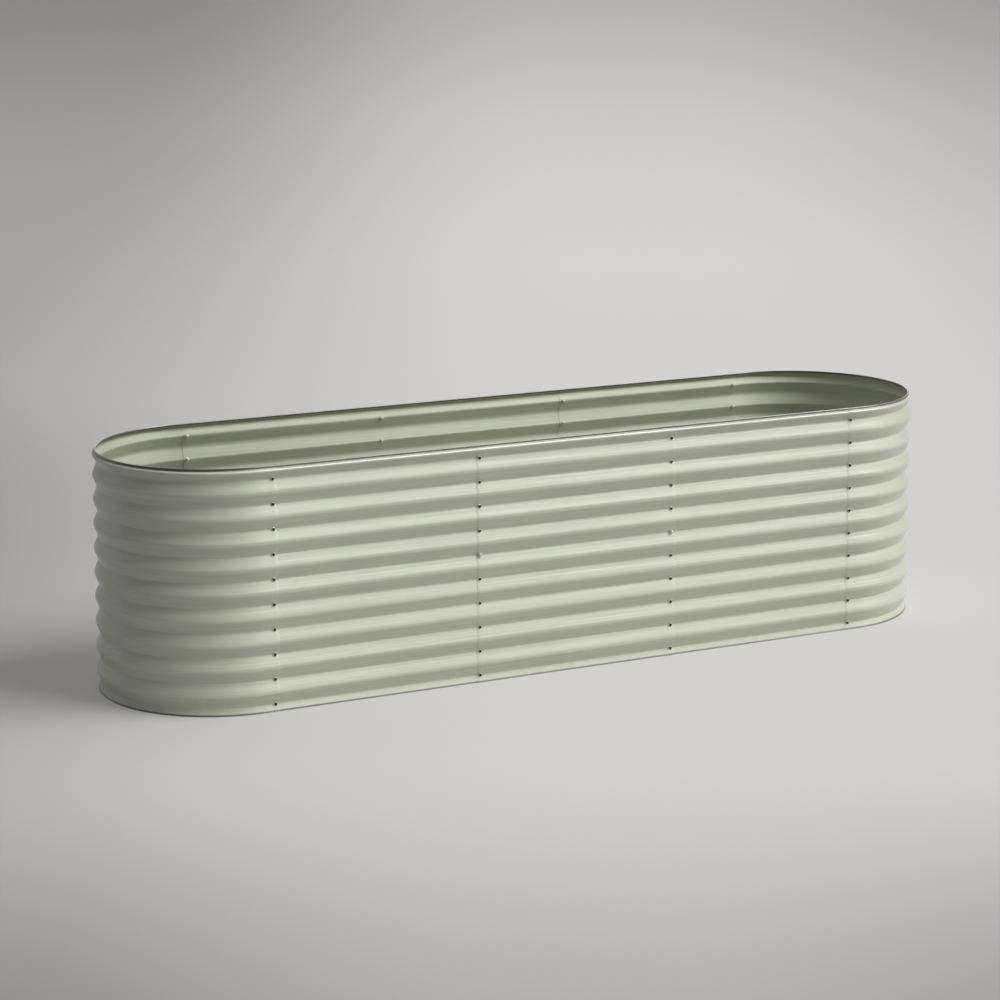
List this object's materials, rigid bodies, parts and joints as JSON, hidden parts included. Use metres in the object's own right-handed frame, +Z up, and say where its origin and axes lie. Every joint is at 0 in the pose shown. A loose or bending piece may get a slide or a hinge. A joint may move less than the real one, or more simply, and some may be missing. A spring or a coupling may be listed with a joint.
{
  "type": "raised garden bed",
  "caption": "Tall oval raised garden bed of bolted corrugated steel panels with half-round ends, open at the top and the bottom, with a rubber edge trim.",
  "frame": {"origin": "on the ground, under the middle of the bed", "axes": "+X along the bed's length, +Y across it from front to back, +Z up"},
  "size_m": [2.87, 0.766, 0.7497],
  "materials": {
    "panel_paint": "satin sage green coating on galvanised sheet",
    "edge_rubber": "glossy dark brown rubber",
    "fastener_steel": "plated steel",
    "rod_steel": "plated steel"
  },
  "bodies": {
    "root": {"back_panel_left": "panel_paint", "back_panel_middle": "panel_paint", "back_panel_right": "panel_paint", "back_seam_1_bolts": "fastener_steel", "back_seam_1_nuts": "fastener_steel", "back_seam_2_bolts": "fastener_steel", "back_seam_2_nuts": "fastener_steel", "back_seam_3_bolts": "fastener_steel", "back_seam_3_nuts": "fastener_steel", "back_seam_4_bolts": "fastener_steel", "back_seam_4_nuts": "fastener_steel", "edge_trim_back": "edge_rubber", "edge_trim_front": "edge_rubber", "edge_trim_left_end": "edge_rubber", "edge_trim_right_end": "edge_rubber", "end_panel_left": "panel_paint", "end_panel_right": "panel_paint", "front_panel_left": "panel_paint", "front_panel_middle": "panel_paint", "front_panel_right": "panel_paint", "front_seam_1_bolts": "fastener_steel", "front_seam_1_nuts": "fastener_steel", "front_seam_2_bolts": "fastener_steel", "front_seam_2_nuts": "fastener_steel", "front_seam_3_bolts": "fastener_steel", "front_seam_3_nuts": "fastener_steel", "front_seam_4_bolts": "fastener_steel", "front_seam_4_nuts": "fastener_steel", "tie_rod_1": "rod_steel", "tie_rod_1_cap_nuts": "fastener_steel", "tie_rod_1_lock_nuts": "fastener_steel", "tie_rod_2": "rod_steel", "tie_rod_2_cap_nuts": "fastener_steel", "tie_rod_2_lock_nuts": "fastener_steel"}
  },
  "joints": []
}
